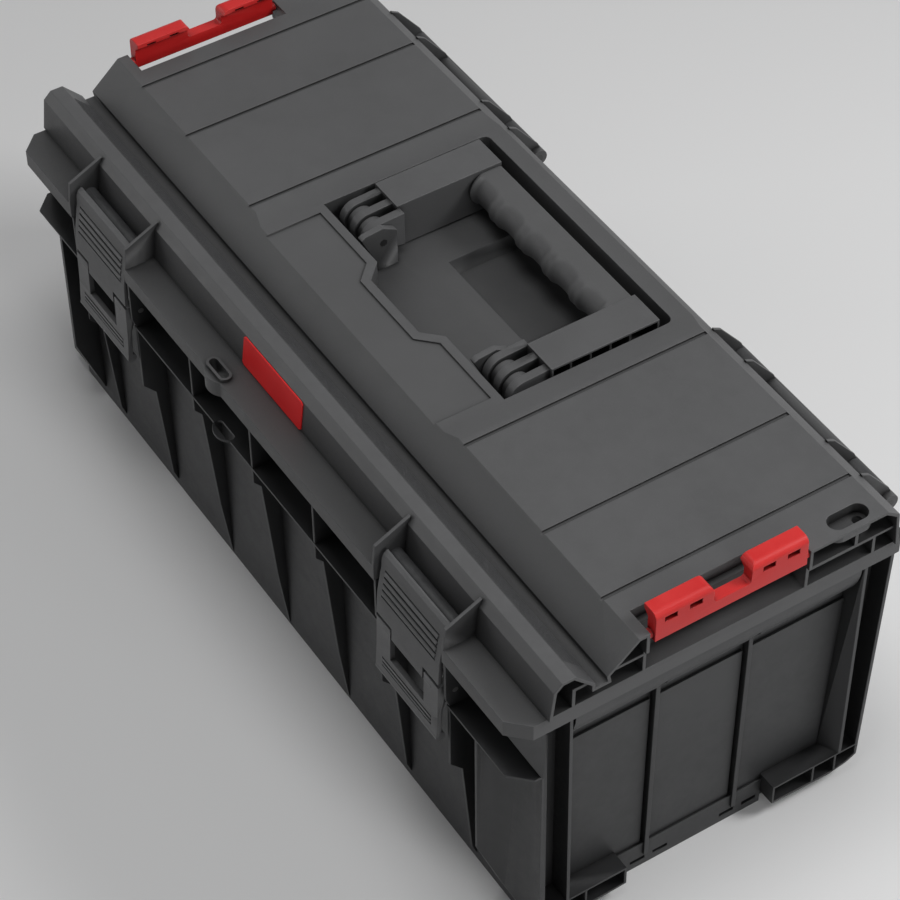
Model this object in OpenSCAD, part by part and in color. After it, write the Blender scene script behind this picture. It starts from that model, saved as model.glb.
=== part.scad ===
// Long moulded tool case: a drafted tub, a hinged lid with a folding handle,
// two over-centre draw latches on the front and two stacking clips on the ends.
// +X runs along the case, -Y is the latch side, Z = 0 is the ground.

/* [Case] */
// Length of the lid over its two end edges
case_l = 791; // [720:1:860]
// Depth from the rail's front face to the lid's rear face
body_d = 320; // [300:1:350]
// Height of the deck above the ground
deck_h = 322; // [300:1:360]
// Wall of the tub and the lid
wall = 3; // [2.6:0.1:3.4]
// Spacing of the upright webs along the front
web_pitch = 98.4; // [97:0.2:100]

/* [Lid] */
// Height from the lid's flange to its deck
lid_h = 43; // [41:0.5:48]
// Height of the band round the lid's lower edge
band_h = 16; // [15:0.5:19]
// How far the front flange stands out from the rail
flange_d = 27.5; // [27:0.25:29]
// How far the rear skirt stands out from the rear face
rear_skirt_d = 11; // [10:0.25:12]
// Depth of the rail and the channel behind it
rail_d = 51; // [48:0.5:54]
// Run of the slope from the channel up to the deck
slope_run = 27.5; // [24:0.5:31]
// Run of the chamfer along the deck's rear edge
chamfer_run = 12.3; // [10:0.1:14]
// Drop of the chamfer along the deck's rear edge
chamfer_drop = 9.5; // [8:0.1:12]
// Width of the grooves across the deck
groove_w = 3.4; // [2.5:0.1:5]
// Depth of the grooves across the deck
groove_depth = 1.4; // [1:0.1:1.8]
// Length of the label plate on the rail
label_l = 92; // [80:1:100]
// Thickness of the label plate
label_t = 1.2; // [1:0.1:1.6]

/* [Handle] */
// Length of the well that the handle lies in
well_l = 272; // [268:1:280]
// Front edge of the well from the middle of the case
well_front = 28; // [26:0.5:32]
// Distance of the well's rear edge from the lid's rear face
well_rear_in = 26.3; // [24:0.1:30]
// Depth of the well below the deck
well_depth = 46; // [44:0.5:47]
// Length of the handle over its arms
handle_l = 264; // [258:1:266]
// Width of one handle arm
arm_w = 35; // [33:0.5:37]
// Diameter of the grip
grip_dia = 32; // [28:0.5:34]
// Diameter of the handle's pivot pins
handle_pin_dia = 7; // [6:0.25:8]

/* [Latches] */
// Width of a latch
latch_w = 88; // [84:0.5:90]
// Height from the hook's pin to the top of the hook
hook_h = 75; // [73:0.5:77]
// Width of the hook's tongue between the lever's arms
tongue_w = 44; // [38:0.5:46]
// Thickness of the hook plate
hook_t = 3.6; // [3:0.1:4]
// Thickness of the lever plate
lever_t = 4.4; // [4:0.1:5]
// Reach of the lever below its pin
lever_reach = 60; // [54:1:66]
// Diameter of the lever's pivot pin
lever_pin_dia = 5; // [4:0.25:6]
// Diameter of the pin between lever and hook
hook_pin_dia = 4; // [3:0.25:4.5]
// Diameter of the bar that the hook pulls on
catch_dia = 14; // [12:0.5:14.5]

/* [Hinges] */
// Distance of the hinge axis behind the lid's rear face
hinge_out = 24.5; // [24:0.25:26]
// Diameter of the hinge barrels
barrel_dia = 16; // [14:0.5:17]
// Diameter of the hinge rods
rod_dia = 7; // [6:0.25:8]
// Spacing of the two outer fins of a hinge
fin_outer = 190.5; // [180:0.5:200]
// Spacing of the two inner fins of a hinge
fin_inner = 104.5; // [96:0.5:112]

/* [End clips] */
// Length of an end clip
clip_l = 138; // [134:1:142]
// Height of a clip's hooks above the deck
clip_rise = 18; // [16:0.5:20]
// Thickness of a clip's bar
clip_t = 10; // [9:0.25:11]
// Diameter of a clip's pivot pin
clip_pin_dia = 5; // [4:0.25:5.5]

/* [Fits] */
// Radial running clearance of every pin in its bore
fit = 0.05; // [0.02:0.01:0.1]
// Gap between mouldings that only pass each other
gap = 0.4; // [0.3:0.05:0.6]

/* [Hidden] */
$fn = 48;

// Overrun of every cut past the face it opens
over = 1;

// Main planes
half_l = case_l / 2;
front_y = -body_d / 2;
rear_y = body_d / 2;
flange_z = deck_h - lid_h;
part_z = flange_z - band_h;

// Places along the case
band_inset = 3.2;
band_x = half_l - band_inset;
post_inset = 5.5;
post_x = half_l - post_inset;
wall_inset = 23.5;
wall_x = half_l - wall_inset;
latch_in = 149.5;
latch_x = half_l - latch_in;
groove_x_shares = [0.415, 0.686, 0.882];
groove_tip_share = 1.2;

// Outline of the lid's section, front to rear
rail_shares = [[0, 0], [0.07, 0.7], [0.21, 0.86], [0.44, 0.86],
    [0.785, 0.42], [0.79, 0.3], [1, 0.3], [0.98, 0.44]];
rail_pts = [for (s = rail_shares) [front_y + s[0] * rail_d, flange_z + s[1] * lid_h]];
deck_front_y = rail_pts[7][0] + slope_run;
rear_lean = 2.5;
deck_rear_y = rear_y - rear_lean - chamfer_run;
lid_path = concat(rail_pts, [[deck_front_y, deck_h], [deck_rear_y, deck_h],
    [rear_y - rear_lean, deck_h - chamfer_drop], [rear_y, flange_z]]);
label_corner_share = 0.083;
rail_tilt = atan((rail_pts[1][0] - rail_pts[0][0]) / (rail_pts[1][1] - rail_pts[0][1]));

// Lid and tub where they meet
front_chamfer = 16;
rear_chamfer = 6;
rim_t = 4;
rim_top = part_z - gap;
rim_in = 10;
rim_out = 3;
tongue_t = 3;
tongue_h = 3.9;
tongue_in = 7;
groove_in = 12;
groove_roof = 7;
gasket_t = 5;
panel_gap = 2;
panel_groove = 2;

// Zone of the deck round the handle
zone_drop = 3.5;
zone_half = 140;
zone_slope = 15;
zone_front = deck_front_y - 12;
plateau_drop = 1.4;
plateau_half = 129;
bead_w = 8;
well_wall = 2.5;
well_half = well_l / 2;
well_rear = rear_y - well_rear_in;
well_floor = deck_h - well_depth;
bay_depth = 15.5;
bay_half_shares = [0.382, 0.265];
well_r = 6;
trench_half = 59;
trench_front = 45;
trench_rear_gap = 9.7;
trench_rear = well_rear - trench_rear_gap;
trench_drop = 9;
trench_slope = 9;

// Handle
handle_axis_y = -3.7;
handle_axis_drop = 18;
handle_axis = [handle_axis_y, deck_h - handle_axis_drop];
knuckle_r = 14.5;
knuckle_w = 8;
knuckle_pitch = 16;
lug_w = 6;
lug_r = 12;
lug_plate_shares = [[-0.54, -2.4], [-0.54, -1.67], [-1.78, 1], [-1.44, 1.19], [0, 1.33],
    [1.06, 0.75], [1.14, 0.6], [1.14, -2.4]];
arm_front = 19;
arm_rear_gap = 10.7;
arm_rear = well_rear - arm_rear_gap;
arm_skin = 2.5;
arm_half = handle_l / 2;
knuckle_x = arm_half - knuckle_w * 7 / 8;
lug_plate_x = knuckle_x - knuckle_pitch * 2 - knuckle_w / 2 - lug_w * 2 / 3;
arm_bottom = well_floor + bay_depth / 8;
rib_gap = 19;
grip_in = 15.5;
grip_axis = [arm_rear - grip_in, deck_h - grip_dia / 2 - arm_skin / 2];
grip_core_dia = grip_dia * 0.6;
grip_half = arm_half - arm_w - gap;
grip_flat = 1.2;
ridge_w = 9;
ridge_h = 2;
ridge_pitch = 39.5;

// Front webs, gussets and lower flange of the tub
web_t = 3;
shelf_drop = 52.6;
shelf_z = part_z - shelf_drop;
shelf_t = 2.4;
shelf_d = 23.4;
web_shares = [[-0.04, 0.975], [0.84, 0.962], [0.84, 0.734], [0.6, 0.703], [0.27, 0.278], [-0.04, 0.01]];
gusset_shares = [[-0.04, 0.996], [0.945, 0.996], [0.945, 0.836], [0.82, 0.8], [0.82, 0.529],
    [0.415, 0.479], [0.11, 0.076], [-0.04, 0.03]];
wing_l = 57.6;
wing_top = shelf_z - shelf_t / 2;
wing_bevel_top = 76;
wing_bevel_bottom = 12;
corner_turn = 30;
corner_reach = 27;

// Ends of the tub
draft_front = 1.5;
draft_rear = 11.5;
draft_end = 3;
rear_bulge = 3;
post_gap = 22.5;
post_lean = 3.8;
post_lean_low = 13.6;
post_draft = 2;
post_bottom = 20;
post_slice_h = 1;
post_root = 1;
rib_y = [-48.5, 38];
rib_w = 4.2;
rib_d = 6.8;
rib_groove = 1.6;
rib_top_drop = 22;
cove_drop = 33.6;
cove_d = 12;
cove_gap = 2.4;
slot_line_h = 17;
bay_out = 2.5;
slot_z = rim_top - cove_drop;
plinth_out = 2;
plinth_h = 29;
plinth_slot_l = 14;
plinth_slot_h = 4;
plinth_slot_z = 9;
plinth_slot_y = [33, 55.3];
foot_in_front = 77.5;
foot_in_rear = 66.5;
foot_top = 34;
foot_bottom = 11;
foot_wall = 2.2;
foot_shares = [[0, 1], [0, 0.1], [0.7, 0], [0.875, 0.14], [1, 0.4], [1, 1]];
foot_cell_shares = [0, 0.48, 0.74, 1];
foot_out_rear = rear_y + rear_bulge - draft_rear * (1 - post_bottom / rim_top);
foot_out_front = -front_y - draft_front;
root_y = rear_y - post_gap - wall;
bay_edges = concat([-root_y], [for (y = rib_y) for (m = [-1, 1]) y + m * (rib_w / 2 + rib_groove)], [root_y]);

// Padlock eyes of the lid and the tub
eye_x = -48.6;
eye_out = 20.8;
eye_l = 30;
eye_w = 12;
eye_rim = 2.2;
eye_rise = 3;
eye_lobe_r = 17;
eye_reach = 5;

// Latch
lid_gusset_shares = [[-0.25, 0.85], [0.92, 0.49], [1, 0], [-0.05, 0]];
pin_out = 17.3;
pin_drop = 35.8;
lever_pin = [front_y - pin_out, part_z - pin_drop];
hook_pin_out = 7.2;
hook_pin_drop = 6.2;
hook_pin = [lever_pin[0] - hook_pin_out, lever_pin[1] - hook_pin_drop];
pocket_half = web_pitch / 2 - web_t / 2;
latch_half = latch_w / 2;
catch_gap = 1;
catch_rise = 2;
catch_at = [front_y - catch_dia / 2 - catch_gap, flange_z + catch_rise];
catch_tenon_dia = 8;
catch_seat = web_t * 0.7;
hook_out = hook_pin[0] - hook_t * 1.2;
hook_shares = [[0, 0], [0.005, 0.147], [0.021, 0.44], [0.065, 0.72], [0.079, 0.787], [0.088, 0.91],
    [0.112, 0.972], [0.15, 1]];
hook_path = [for (s = hook_shares) [hook_out + s[0] * hook_h, hook_pin[1] + s[1] * hook_h]];
hook_groove_shares = [0.44, 0.527, 0.613, 0.7, 0.787];
hook_arm_share = 0.147;
lip_gap = 0.6;
lip_h = 5;
groove_cut = 0.9;
lever_top = 1;
lever_shares = [[0, 0], [0.013, 0.57], [0.037, 0.97]];
lever_out = hook_out + gap / 2;
lever_path = [for (s = lever_shares)
    [lever_out - s[0] * lever_reach, lever_pin[1] + lever_top - s[1] * lever_reach]];
lever_window_share = 0.57;
lever_rib_shares = [0.7, 0.77, 0.84];
lever_rib_l_share = 0.8;
lever_face_share = 0.026;
window_gap = 2;
window_half = tongue_w / 2 + window_gap;
ear_w = 6;
boss_w = 10;
boss_wall = 2.5;
arm_boss_share = 0.9;
hook_groove_l_share = 0.86;
lip_root_share = 0.4;
lip_front_share = 0.5;
lip_foot_share = 1.6;
curl_r = 4.2;

// Hinges
hinge_drop = 7;
hinge_axis = [rear_y + hinge_out, flange_z - hinge_drop];
hinge_x_shares = [-0.589, 0.64];
fin_t = 3;
fin_reach = hinge_out * 1.28;
fin_rise = lid_h * 0.92;
fin_shares = [[-0.1, 1.09], [0.15, 0.98], [0.85, 0.3], [0.95, 0.12], [0.85, -0.08],
    [0.25, -0.18], [-0.06, -0.18]];
knuckle_web_shares = [[-0.03, 0], [0.47, 0], [0.77, 0.45], [1, 0.2], [1.22, 0.4],
    [1.24, 0], [0.08, -3.6]];
end_barrel_l = 7;
fin_x = [-fin_outer / 2, -fin_inner / 2, fin_inner / 2, fin_outer / 2];

// End clips
notch_gap = 3.6;
notch_half = clip_l / 2 + notch_gap;
notch_d = 20.5;
notch_ledge = 5.5;
clip_out = 1;
clip_face = half_l + clip_out;
clip_pin_shares = [0.6, 0.55];
clip_pin = [clip_face - clip_t * clip_pin_shares[0], deck_h - clip_t * clip_pin_shares[1]];
clip_pin_wall = 1.5;
clip_dip_gap = 0.4;
clip_window_rise = 2.75;
clip_slot_low = 6;
clip_slot_top = 3;
clip_drop = 11;
ledge_z = deck_h - clip_drop;
clip_dip_half = 17;
clip_hook_t = 15.7;
clip_r = 6;
clip_window = [11, 5];
clip_window_share = 0.59;
clip_window_y = plinth_slot_y;
clip_slot_w = 4;

// Arcs of the corner wings and of the coves over the end panels
arc_parts = 6;
right_angle = 90;
cove_parts = 4;
cove_angle = 60;
wing_y = front_y - shelf_d;

// Open cells at the lid's ends
cell_top_share = 0.45;
cell_front_share = 0.43;
cell_front = front_y + rail_d * cell_front_share;
cell_rear_in = 24;
cell_mid_in = 42;
cell_rear = rear_y - cell_rear_in;
cell_mid = rear_y - cell_mid_in;
notch_cheek_share = 0.5;

// Corner slots of the deck
slot_w = 16;
slot_l = 36;
slot_depth = 10;
slot_inset = 13.5;
slot_rear_in = 43;
slot_y = rear_y - slot_rear_in;
slot_hole_dia = 8.6;

// Point list helpers
function unit(v) = v / norm(v);
function right_of(v) = [v[1], -v[0]];
function reversed(p) = [for (i = [len(p) - 1 : -1 : 0]) p[i]];
function mitre(p, a, b, t) = let (m = unit(right_of(a) + right_of(b))) p + m * t / (m * right_of(a));
function open_inset(p, t) = [for (i = [0 : len(p) - 1])
    let (n = len(p) - 1,
        b = unit(p[min(i + 1, n)] - p[min(i, n - 1)]),
        a = unit(p[max(i, 1)] - p[max(i - 1, 0)]))
    mitre(p[i], a, b, t)];
function closed_inset(p, t) = [for (i = [0 : len(p) - 1])
    let (n = len(p), a = unit(p[i] - p[(i + n - 1) % n]), b = unit(p[(i + 1) % n] - p[i]))
    mitre(p[i], a, b, t)];
function sheet(p, t) = concat(p, reversed(open_inset(p, t)));
function arc(c, r, a, b, n) = [for (i = [0 : n]) let (t = a + (b - a) * i / n) c + r * [cos(t), sin(t)]];
function on_front(shares, d, h) = [for (s = shares) [front_y - s[0] * d, s[1] * h]];

// Placing helpers
module along_x(x0, x1) translate([x0, 0, 0]) rotate([90, 0, 90])
    linear_extrude(height = x1 - x0) children();
module along_y(y0, y1) translate([0, y1, 0]) rotate([90, 0, 0])
    linear_extrude(height = y1 - y0) children();
module upright(z0, z1) translate([0, 0, z0]) linear_extrude(height = z1 - z0) children();
module web_at(x, t) along_x(x - t / 2, x + t / 2) children();
module rod_x(x0, x1, at, dia) along_x(x0, x1) translate(at) circle(d = dia);
module rod_y(y0, y1, at, dia) along_y(y0, y1) translate(at) circle(d = dia);
module box(lo, hi) translate(lo) cube(hi - lo);
module both_ends() for (s = [0, 1]) mirror([s, 0, 0]) children();
module both_sides() for (s = [0, 1]) mirror([0, s, 0]) children();
module oval(l, w) {
    square([l - w, w], center = true);
    for (s = [-1, 1]) translate([s * (l - w) / 2, 0]) circle(d = w);
}
module frame(x, y, t) difference() {
    square([x * 2, y * 2], center = true);
    square([x * 2 - t * 2, y * 2 - t * 2], center = true);
}

// Plan of the lid's band, drawn in by an inset
module band_plan(inset) {
    x = band_x - inset;
    y0 = front_y - flange_d + inset;
    y1 = rear_y + rear_skirt_d - inset;
    c0 = front_chamfer - inset * (2 - sqrt(2));
    c1 = rear_chamfer - inset * (2 - sqrt(2));
    polygon([[-x + c0, y0], [x - c0, y0], [x, y0 + c0], [x, y1 - c1], [x - c1, y1],
        [-x + c1, y1], [-x, y1 - c1], [-x, y0 + c0]]);
}

// Plan of the handle's well, grown outwards by a wall
function well_corners() = let (h = well_half, b = [for (s = bay_half_shares) s * h]) concat(
    [[-h, -well_front], [-b[0], -well_front], [-b[1], -well_front - bay_depth],
        [b[1], -well_front - bay_depth], [b[0], -well_front], [h, -well_front]],
    arc([h - well_r, well_rear - well_r], well_r, 0, 90, 4),
    arc([well_r - h, well_rear - well_r], well_r, 90, 180, 4));
module well_plan(grow) polygon(closed_inset(well_corners(), grow));

// Plan of the lowered plateau in front of the well
module plateau_plan() {
    b = [for (s = bay_half_shares) s * well_half + bead_w / 2];
    y0 = deck_front_y - zone_drop * 2;
    y1 = -well_front - bead_w;
    polygon([[-plateau_half, y0], [plateau_half, y0], [plateau_half, y1], [b[0], y1],
        [b[1], y1 - bay_depth], [-b[1], y1 - bay_depth], [-b[0], y1], [-plateau_half, y1]]);
}

// Section of the lowered zone, drawn at a depth below its surface
module zone_section(depth) polygon([[-zone_half - zone_slope, deck_h - depth],
    [-zone_half, deck_h - zone_drop - depth], [zone_half, deck_h - zone_drop - depth],
    [zone_half + zone_slope, deck_h - depth], [zone_half + zone_slope, deck_h + over],
    [-zone_half - zone_slope, deck_h + over]]);

// Trench under the grip, grown outwards by a wall
module trench(grow, top) along_y(trench_front - grow, trench_rear + grow) {
    bottom = well_floor - trench_drop - grow;
    x0 = trench_half - trench_slope + grow;
    x1 = trench_half + grow;
    polygon([[-x1, well_floor], [-x0, bottom], [x0, bottom], [x1, well_floor], [x1, top], [-x1, top]]);
}

module deck_groove(x) {
    tip = groove_w * groove_tip_share;
    y0 = deck_front_y - tip;
    upright(deck_h - groove_depth, deck_h + over)
        polygon([[x, y0], [x + groove_w / 2, y0 + tip], [x + groove_w / 2, deck_rear_y],
            [x - groove_w / 2, deck_rear_y], [x - groove_w / 2, y0 + tip]]);
}

// Skin of the lid with its lowered handle zone and the well
module lid_skin() {
    along_x(-half_l, half_l) polygon(sheet(lid_path, wall));
    intersection() {
        along_x(-half_l, half_l) polygon(concat(lid_path, [[rear_y, part_z], [front_y, part_z]]));
        union() {
            difference() {
                along_y(zone_front, rear_y) zone_section(wall);
                along_y(zone_front - over, rear_y + over) zone_section(0);
            }
            upright(well_floor - well_wall, deck_h) well_plan(well_wall);
            trench(well_wall, well_floor);
        }
    }
}
module square_span(x0, x1, y0, y1) translate([x0, y0]) square([x1 - x0, y1 - y0]);

// Band: flange plate, skirt, and the walls of the sealing groove
module lid_band() {
    upright(flange_z - wall, flange_z) difference() {
        band_plan(0);
        square([wall_x * 2, body_d - wall * 2], center = true);
    }
    upright(part_z, flange_z) difference() {
        band_plan(0);
        band_plan(wall);
    }
    upright(part_z, flange_z) frame(wall_x + wall, rear_y, wall);
    upright(part_z, flange_z) frame(wall_x - groove_in + wall, rear_y - groove_in, wall);
    upright(part_z + groove_roof, part_z + groove_roof + wall) frame(wall_x + wall, rear_y, groove_in + wall);
}

// Closed ends and the open cells outside them
module lid_ends() both_ends() {
    shelf_top = flange_z + lid_h * cell_top_share;
    cheek_z = deck_h - lid_h * notch_cheek_share;
    intersection() {
        along_x(wall_x - notch_d, half_l) polygon(lid_path);
        union() {
            along_x(wall_x, wall_x + wall) polygon(lid_path);
            along_x(wall_x, band_x) {
                square_span(cell_front, rear_y - wall, shelf_top - wall, shelf_top);
                square_span(cell_front, cell_front + wall, flange_z, shelf_top);
                square_span(cell_rear, cell_rear + wall, flange_z, shelf_top);
                square_span(cell_mid, cell_mid + wall, shelf_top, deck_h);
                square_span(-notch_half - wall, -notch_half, flange_z, deck_h);
                square_span(notch_half, notch_half + wall, flange_z, deck_h);
            }
            box([half_l - notch_d - notch_ledge - wall, -notch_half - wall, ledge_z - wall],
                [half_l - notch_d, notch_half + wall, deck_h]);
            along_x(wall_x, half_l) {
                square_span(-notch_half - wall, -notch_half, cheek_z, deck_h);
                square_span(notch_half, notch_half + wall, cheek_z, deck_h);
            }
        }
    }
}

// Deep oval pockets at the deck's rear corners
module corner_pocket(grow, floor_z, top_z) both_ends()
    translate([half_l - slot_inset, slot_y, 0]) rotate([0, 0, 90])
        upright(floor_z, top_z) oval(slot_l + grow * 2, slot_w + grow * 2);

// Gussets at both sides of each latch pocket
module lid_gussets() both_ends() for (x = [latch_x - web_pitch / 2, latch_x + web_pitch / 2])
    web_at(x, web_t) {
        polygon([for (s = lid_gusset_shares) [front_y - s[0] * flange_d, flange_z + s[1] * lid_h]]);
        square_span(front_y - flange_d, front_y + wall / 2, part_z, flange_z);
    }

// Fins and barrels of both hinges that belong to the lid
module lid_hinges() for (s = hinge_x_shares) {
    gx = s * half_l;
    for (x = fin_x) web_at(gx + x, fin_t) {
        translate(hinge_axis) circle(d = barrel_dia);
        polygon([for (p = fin_shares) [rear_y + p[0] * fin_reach, hinge_axis[1] + p[1] * fin_rise]]);
    }
    rod_x(gx - fin_inner / 2, gx + fin_inner / 2, hinge_axis, barrel_dia);
    rod_x(gx + fin_outer / 2, gx + fin_outer / 2 + end_barrel_l, hinge_axis, barrel_dia);
}

// Lugs in the well that carry the handle's pins
module handle_lugs() both_ends() {
    for (i = [1, 3]) web_at(knuckle_x - knuckle_pitch * i / 2, lug_w) {
        translate(handle_axis) circle(r = lug_r);
        square_span(handle_axis[0] - lug_r, handle_axis[0] + lug_r, well_floor - well_wall / 2,
            handle_axis[1]);
    }
    web_at(lug_plate_x, lug_w) polygon([for (s = lug_plate_shares) handle_axis + s * lug_r]);
}

// Padlock eye: a lobe on a plate with an oval slot
module eye_lobe(z0, z1, reach) translate([eye_x, front_y - flange_d + eye_lobe_r - reach, 0])
    upright(z0, z1) circle(r = eye_lobe_r);
module eye_slot(z0, z1, grow) translate([eye_x, front_y - eye_out, 0])
    upright(z0, z1) oval(eye_l - eye_rim * 2 + grow * 2, eye_w - eye_rim * 2 + grow * 2);

module lid_shell() color("#3d3e40") difference() {
    union() {
        difference() {
            union() {
                lid_skin();
                lid_band();
                lid_ends();
                corner_pocket(well_wall, deck_h - slot_depth - well_wall, deck_h - over);
                lid_hinges();
                eye_lobe(part_z, flange_z, eye_reach);
            }
            along_y(zone_front - wall, rear_y + over) zone_section(0);
            upright(deck_h - zone_drop - plateau_drop, deck_h) plateau_plan();
            upright(well_floor, deck_h + over) well_plan(0);
            trench(0, well_floor + over);
            for (s = groove_x_shares) for (m = [-1, 1]) deck_groove(m * s * half_l);
            both_ends() box([half_l - notch_d, -notch_half, flange_z],
                [half_l + over, notch_half, deck_h + over]);
            both_ends() box([half_l - notch_d - notch_ledge, -notch_half, ledge_z],
                [half_l, notch_half, deck_h + over]);
            both_ends() box([latch_x - pocket_half, front_y - flange_d - over, part_z - over],
                [latch_x + pocket_half, front_y, flange_z + over]);
            corner_pocket(0, deck_h - slot_depth, deck_h + over);
        }
        lid_gussets();
        handle_lugs();
        eye_slot(flange_z - wall, flange_z + eye_rise, eye_rim);
    }
    eye_slot(part_z - over, deck_h, 0);
    both_ends() translate([half_l - slot_inset, slot_y + (slot_l - slot_w) / 2, 0])
        upright(flange_z, deck_h) circle(d = slot_hole_dia);
    both_ends() rod_x(0, well_half, handle_axis, handle_pin_dia + fit * 2);
    both_ends() rod_y(-notch_half - wall - over, notch_half + wall + over, clip_pin, clip_pin_dia + fit * 2);
    both_ends() rod_x(latch_x - pocket_half - catch_seat, latch_x + pocket_half + catch_seat,
        catch_at, catch_tenon_dia + fit * 2);
    for (s = hinge_x_shares)
        rod_x(s * half_l - fin_outer, s * half_l + fin_outer, hinge_axis, rod_dia + fit * 2);
}

// Plate that closes the lid from below, resting against the sealing groove's inner wall
module lid_inner_panel() color("#333436") difference() {
    x = wall_x - groove_in + wall - panel_gap;
    y = rear_y - groove_in - panel_gap;
    upright(part_z - wall, part_z) square([x * 2, y * 2], center = true);
    upright(part_z - panel_groove, part_z + over) frame(well_half, rear_y - groove_in * 3, groove_in);
}

module lid_gasket() color("#1c1c1d") {
    y = rear_y - tongue_in + (gasket_t - tongue_t) / 2;
    x = wall_x - tongue_in + wall + (gasket_t - tongue_t) / 2;
    upright(rim_top + tongue_h + gap, part_z + groove_roof) frame(x, y, gasket_t);
}

module label_plate() color("#ff1e1e")
    translate([0, front_y, flange_z]) rotate([90 - rail_tilt, 0, 0]) {
        h = norm(rail_pts[1] - rail_pts[0]);
        c = h * label_corner_share;
        w = label_l / 2;
        linear_extrude(height = label_t)
            polygon([[c - w, gap], [w - c, gap], [w, c], [w, h - c], [w - c, h - gap],
                [c - w, h - gap], [-w, h - c], [-w, c]]);
    }

module catch_bar(side) color("#2a2b2c") {
    rod_x(side * latch_x - pocket_half, side * latch_x + pocket_half, catch_at, catch_dia);
    rod_x(side * latch_x - pocket_half - catch_seat, side * latch_x + pocket_half + catch_seat,
        catch_at, catch_tenon_dia);
}
module catch_bar_left() catch_bar(-1);
module catch_bar_right() catch_bar(1);

module handle_pin(side) color("#77797c") mirror([(1 - side) / 2, 0, 0])
    rod_x(lug_plate_x - lug_w / 2, knuckle_x + knuckle_w / 2, handle_axis, handle_pin_dia);
module handle_pin_left() handle_pin(-1);
module handle_pin_right() handle_pin(1);

module clip_pin_rod(side) color("#77797c") mirror([(1 - side) / 2, 0, 0])
    rod_y(-notch_half - wall, notch_half + wall, clip_pin, clip_pin_dia);
module clip_pin_left() clip_pin_rod(-1);
module clip_pin_right() clip_pin_rod(1);

// Handle: two ribbed arms, their knuckles and the bar under the grip
module handle_arm() {
    x0 = arm_half - arm_w;
    box([x0, arm_front, deck_h - arm_skin], [arm_half, arm_rear, deck_h]);
    box([x0, arm_front, arm_bottom], [x0 + arm_skin, arm_rear, deck_h]);
    box([x0, arm_front, arm_bottom], [arm_half, arm_front + arm_skin, deck_h]);
    box([x0, arm_rear - arm_skin, arm_bottom], [arm_half, arm_rear, deck_h]);
    box([x0, arm_front, (arm_bottom + deck_h) / 2],
        [arm_half - arm_skin, arm_rear, (arm_bottom + deck_h) / 2 + arm_skin]);
    for (y = [arm_front + rib_gap : rib_gap : arm_rear - rib_gap / 2])
        box([x0, y, arm_bottom], [arm_half - arm_skin, y + arm_skin, deck_h]);
}
module handle_frame() color("#343537") difference() {
    union() {
        both_ends() handle_arm();
        both_ends() for (i = [0 : 2]) web_at(knuckle_x - knuckle_pitch * i, knuckle_w) {
            translate(handle_axis) circle(r = knuckle_r);
            polygon([handle_axis + [0, knuckle_r], [arm_front + arm_skin, deck_h - arm_skin],
                [arm_front + arm_skin, arm_bottom + knuckle_r / 2], handle_axis - [0, knuckle_r]]);
        }
        both_ends() box([arm_half - arm_w - knuckle_w / 2, arm_front, arm_bottom + knuckle_r / 2],
            [arm_half - arm_w + arm_skin, arm_front + arm_skin, deck_h - arm_skin]);
        rod_x(-arm_half + arm_w, arm_half - arm_w, grip_axis, grip_core_dia);
    }
    both_ends() rod_x(0, arm_half + over, handle_axis, handle_pin_dia + fit * 2);
}

module handle_grip() color("#2f3032") difference() {
    union() {
        rod_x(-grip_half, grip_half, grip_axis, grip_dia);
        for (i = [-3, -1, 1, 3])
            rod_x((i * ridge_pitch - ridge_w) / 2, (i * ridge_pitch + ridge_w) / 2,
                grip_axis - [ridge_h, 0], grip_dia);
    }
    rod_x(-grip_half - over, grip_half + over, grip_axis, grip_core_dia + fit * 2);
    box([-grip_half - over, 0, grip_axis[1] + grip_dia / 2 - grip_flat],
        [grip_half + over, rear_y, deck_h + over]);
}

// Latch lever: a plate with a window, two arms on the pivot pin and a curled lip
module latch_lever(side) translate([side * latch_x, 0, 0]) color("#3a3b3d") difference() {
    ear_rise = [0, lever_pin_dia / 2 + boss_wall * arm_boss_share];
    union() {
        difference() {
            along_x(-latch_half, latch_half) polygon(sheet(reversed(lever_path), lever_t));
            box([-window_half, front_y - flange_d * 2, lever_path[0][1] - lever_window_share * lever_reach],
                [window_half, front_y, part_z]);
        }
        for (m = [0, 1]) mirror([m, 0, 0]) {
            along_x(latch_half - ear_w, latch_half) {
                translate(lever_pin) circle(d = lever_pin_dia + boss_wall * 2);
                polygon([[lever_out + lever_t / 2, lever_pin[1] + lever_top], lever_pin + ear_rise,
                    lever_pin - ear_rise, lever_path[1] + [lever_t / 2, 0]]);
            }
            rod_x(window_half, window_half + boss_w, hook_pin, hook_pin_dia + boss_wall * 2);
        }
        rod_x(-latch_half, latch_half, lever_path[2] + [curl_r - gap, 0], curl_r * 2);
    }
    for (s = lever_rib_shares) lever_groove(lever_path[0][1] - s * lever_reach);
    rod_x(-latch_half - over, latch_half + over, lever_pin, lever_pin_dia + fit * 2);
    rod_x(-latch_half + ear_w, latch_half - ear_w, hook_pin, hook_pin_dia + fit * 2);
}
module lever_groove(z) {
    half = latch_half * lever_rib_l_share;
    floor_y = lever_out - lever_reach * lever_face_share + groove_cut;
    box([-half, front_y - flange_d * 2, z], [half, floor_y, z + groove_cut * 2]);
}
module latch_lever_left() latch_lever(-1);
module latch_lever_right() latch_lever(1);

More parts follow.
